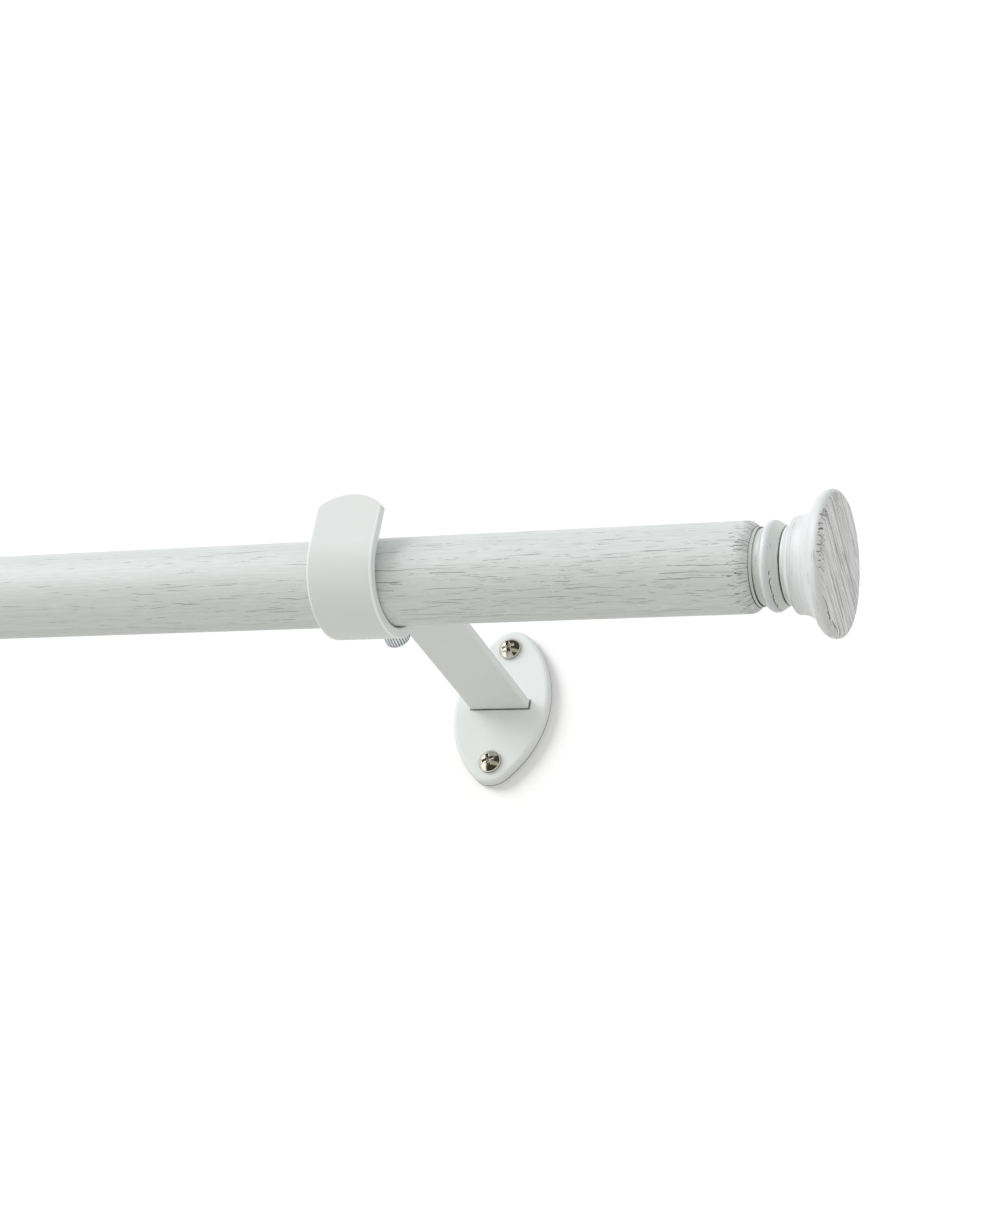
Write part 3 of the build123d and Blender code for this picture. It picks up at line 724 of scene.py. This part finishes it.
# %% Give every node its finish
FINISH = {"tube": enamel, "plug": enamel, "finial": resin, "stud": zinc, "bracket": powder,
          "plate": powder, "wall_screw": nickel, "thumbscrew": zinc}
for name, node in nodes.items():
    for ending, finish in FINISH.items():
        if name.endswith(ending):
            node.data.materials.clear()
            node.data.materials.append(finish)
print("finishes given to", len(nodes), "nodes")

# %% [markdown]
# ## Screw threads
# The CAD screws are plain cylinders, because a thread makes no sense in a collision model. A thread
# is a ridge that follows a path, so Geometry Nodes can sweep it, and one tree with named sizes serves
# wood screws, studs and thumbscrews. First it draws the plain shank in to the thread's core.

# %% Geometry Nodes: the shank drawn in to its core
thread = bpy.data.node_groups.new("screw thread", "GeometryNodeTree")
for name, kind in (("Geometry", "Geometry"), ("Start", "Vector"), ("Direction", "Vector"),
                   ("Length", "Float"), ("Core", "Float"), ("Crest", "Float"), ("Pitch", "Float"),
                   ("Point", "Float"), ("Finish", "Material")):
    thread.interface.new_socket(name=name, in_out="INPUT", socket_type="NodeSocket" + kind)
thread.interface.new_socket(name="Geometry", in_out="OUTPUT", socket_type="NodeSocketGeometry")
given = add(thread, "NodeGroupInput").outputs

# How far a point is along the thread's axis, and out from it
spot = add(thread, "GeometryNodeInputPosition")
offset = add(thread, "ShaderNodeVectorMath", {0: spot, 1: given["Start"]}, operation="SUBTRACT")
dot = add(thread, "ShaderNodeVectorMath", {0: offset, 1: given["Direction"]}, operation="DOT_PRODUCT")
along = dot.outputs["Value"]
axial = add(thread, "ShaderNodeVectorMath", {0: given["Direction"], "Scale": along}, operation="SCALE")
radial = add(thread, "ShaderNodeVectorMath", {0: offset, 1: axial}, operation="SUBTRACT")
radius = add(thread, "ShaderNodeVectorMath", {0: radial}, operation="LENGTH").outputs["Value"]

# The shank's points go in to the core
LEEWAY = 0.05 * MM
past_start = add(thread, "FunctionNodeCompare", {0: along, 1: -LEEWAY}, operation="GREATER_THAN")
reach = add(thread, MATH, {0: given["Length"], 1: LEEWAY}, operation="ADD")
before_end = add(thread, "FunctionNodeCompare", {0: along, 1: reach}, operation="LESS_THAN")
crest_wide = add(thread, MATH, {0: given["Crest"], 1: 1.02}, operation="MULTIPLY")
on_shank = add(thread, "FunctionNodeCompare", {0: radius, 1: crest_wide}, operation="LESS_THAN")
within = add(thread, "FunctionNodeBooleanMath", {0: past_start, 1: before_end}, operation="AND")
shank = add(thread, "FunctionNodeBooleanMath", {0: within, 1: on_shank}, operation="AND")
ratio = add(thread, MATH, {0: given["Core"], 1: radius}, operation="DIVIDE")
shrink = add(thread, MATH, {0: ratio, 1: 1.0}, operation="MINIMUM")
drawn_in = add(thread, "ShaderNodeVectorMath", {0: radial, "Scale": shrink}, operation="SCALE")
back_on = add(thread, "ShaderNodeVectorMath", {0: given["Start"], 1: axial}, operation="ADD")
core_at = add(thread, "ShaderNodeVectorMath", {0: back_on, 1: drawn_in}, operation="ADD")
core = add(thread, "GeometryNodeSetPosition", {
    "Geometry": given["Geometry"], "Selection": shank, "Position": core_at})
print("core:", len(thread.nodes), "nodes")

# %% [markdown]
# The ridge is swept along the helix. Its section grows from nothing over the first turn and fades at
# the point, as a rolled thread runs in and out. It is rooted inside the core, so that no gap shows.

# %% Geometry Nodes: the ridge along a helix
# A right-handed spiral that closes on the axis over the last stretch, Point long
turns = add(thread, MATH, {0: given["Length"], 1: given["Pitch"]}, operation="DIVIDE")
helix = add(thread, "GeometryNodeCurveSpiral", {
    "Resolution": 20, "Rotations": turns, "Start Radius": given["Core"], "End Radius": given["Core"],
    "Height": given["Length"], "Reverse": True})
spiral_at = add(thread, "GeometryNodeInputPosition")
rise = add(thread, "ShaderNodeSeparateXYZ", {0: spiral_at}).outputs["Z"]
left = add(thread, MATH, {0: given["Length"], 1: rise}, operation="SUBTRACT")
fade = add(thread, MATH, {0: left, 1: given["Point"]}, operation="DIVIDE", use_clamp=True)
flat = add(thread, "ShaderNodeCombineXYZ", {0: fade, 1: fade, 2: 1.0})
closing = add(thread, "ShaderNodeVectorMath", {0: spiral_at, 1: flat}, operation="MULTIPLY")
pointed = add(thread, "GeometryNodeSetPosition", {"Geometry": helix, "Position": closing})
upright = add(thread, "GeometryNodeSetCurveNormal", {"Curve": pointed}, mode="Z_UP")

# The ridge has a kite section, twice the thread's depth wide, half of it inside the core
depth = add(thread, MATH, {0: given["Crest"], 1: given["Core"]}, operation="SUBTRACT")
wide = add(thread, MATH, {0: depth, 1: 2.0}, operation="MULTIPLY")
foot = add(thread, MATH, {0: given["Pitch"], 1: 0.4}, operation="MULTIPLY")
section = add(thread, "GeometryNodeCurvePrimitiveQuadrilateral", {
    "Width": wide, "Bottom Height": foot, "Top Height": foot}, mode="KITE")
run_in = add(thread, MATH, {0: rise, 1: given["Pitch"]}, operation="DIVIDE", use_clamp=True)
swell = add(thread, MATH, {0: run_in, 1: fade}, operation="MINIMUM")
some = add(thread, MATH, {0: swell, 1: 0.05}, operation="MAXIMUM")
ridge = add(thread, "GeometryNodeCurveToMesh", {
    "Curve": upright, "Profile Curve": section, "Scale": some, "Fill Caps": True})
turn = add(thread, "FunctionNodeAlignRotationToVector", {"Vector": given["Direction"]}, axis="Z")
placed = add(thread, "GeometryNodeTransform", {
    "Geometry": ridge, "Translation": given["Start"], "Rotation": turn})

# Both together
both = add(thread, "GeometryNodeJoinGeometry")
for piece in (placed, core):
    thread.links.new(piece.outputs[0], both.inputs[0])
real = add(thread, "GeometryNodeRealizeInstances", {"Geometry": both})
coated = add(thread, "GeometryNodeSetMaterial", {"Geometry": real, "Material": given["Finish"]})
add(thread, "NodeGroupOutput", {"Geometry": coated})
SOCKET = {item.name: item.identifier for item in thread.interface.items_tree if item.in_out == "INPUT"}
print("tree:", thread.name, len(thread.nodes), "nodes")

# %% [markdown]
# ## Screws, studs and thumbscrews
# The tree runs on merged copies of the CAD screws, one piece for each body that carries some. Each
# thread is one modifier with its own place and sizes. The result becomes a plain mesh that stands for
# the CAD screws: 4 mm wood screws in the wall, M6 studs in the finials and M5 thumbscrews.

# %% One threaded piece
WOOD = {"Length": 27 * MM, "Core": 1.5 * MM, "Crest": 2.0 * MM, "Pitch": 1.7 * MM, "Point": 5 * MM}
STUD = {"Length": 26 * MM, "Core": 2.5 * MM, "Crest": 3.0 * MM, "Pitch": 1.0 * MM, "Point": 0.9 * MM}
THUMB = {"Core": 2.05 * MM, "Crest": 2.5 * MM, "Pitch": 0.8 * MM, "Point": 0.6 * MM}


def threaded(name, body, finish, cad_names, threads):
    """Copies of CAD screws with a thread on each: its start in mm, its direction and its sizes."""
    shape = bmesh.new()
    for cad_name in cad_names:
        shape.from_mesh(nodes[cad_name].data)
    bmesh.ops.remove_doubles(shape, verts=shape.verts, dist=0.002 * MM)
    plain = bpy.data.meshes.new(name + "_plain")
    shape.to_mesh(plain)
    shape.free()
    made = bpy.data.objects.new(name, plain)
    scene.collection.objects.link(made)
    for start, way, sizes in threads:
        modifier = made.modifiers.new("thread", "NODES")
        modifier.node_group = thread
        given_here = {"Start": Vector(start) * MM, "Direction": way, "Finish": finish, **sizes}
        for label, value in given_here.items():
            modifier[SOCKET[label]] = value
    seen = made.evaluated_get(bpy.context.evaluated_depsgraph_get())
    mesh = bpy.data.meshes.new_from_object(seen)
    made.modifiers.clear()
    made.data = mesh
    shape = bmesh.new()
    shape.from_mesh(mesh)
    bmesh.ops.recalc_face_normals(shape, faces=shape.faces)
    shape.to_mesh(mesh)
    shape.free()
    mesh.shade_smooth()
    mesh.set_sharp_from_angle(angle=math.radians(32))
    key_lit.objects.link(made)
    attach(made, body)
    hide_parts(*cad_names)
    print("threaded:", name, len(mesh.polygons), "faces")


for name, sizes in (("wood screw", WOOD), ("stud", STUD)):
    print(name, "thread:", round(sizes["Length"] / sizes["Pitch"], 1), "turns")

# %% [markdown]
# Both ends have the same screws. The wall screws ride on their half of the rod, the stud on its finial,
# and the thumbscrew on a body of its own, since it turns.

# %% Thread every screw
# In mm: the wall screws off the plate's middle, the cradle's middle below the arm, the thumbscrew's end
SCREW_RISE = 20.5
CRADLE_DROP = 9.5
THUMB_END = 20.9
THUMB_TILT = math.radians(15)
THUMB_WAY = Vector((0.0, math.cos(THUMB_TILT), -math.sin(THUMB_TILT)))

# For each end: the plate's place, which way is outwards, and where stud and thumbscrew thread start
for end, plate_at, plate_up, outwards, stud_x, thumb_from in (
        ("right", 0.0, 0.0, 1, 104.6, 13.685),
        ("left", LEFT_X, LEFT_UP, -1, -584.4, 12.676)):
    into_wall = Vector((0, 1, 0))
    screw_pair = [((plate_at, 0, plate_up + rise), into_wall, WOOD) for rise in (SCREW_RISE, -SCREW_RISE)]
    threaded(end + "_wall_screws", end + "_half", nickel,
             [end + "_upper_wall_screw", end + "_lower_wall_screw"], screw_pair)
    threaded(end + "_threaded_stud", end + "_finial", zinc, [end + "_finial_stud"],
             [((stud_x, ROD_Y, ROD_Z), Vector((outwards, 0, 0)), STUD)])
    middle = Vector((plate_at, ROD_Y, plate_up - CRADLE_DROP))
    thumb_sizes = {**THUMB, "Length": (THUMB_END - thumb_from) * MM}
    threaded(end + "_knurled_screw", end + "_thumbscrew", zinc, [end + "_thumbscrew"],
             [(middle + THUMB_WAY * thumb_from, THUMB_WAY, thumb_sizes)])

# %% [markdown]
# ## Sizes
# The boxes of the CAD solids and of the dressed part are printed side by side.

# %% Sizes and finish
final_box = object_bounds()
for name, (low_corner, high_corner) in (("CAD", cad_box), ("dressed", final_box)):
    print(name, "box:", [round((b - a) / MM, 1) for a, b in zip(low_corner, high_corner)], "mm")
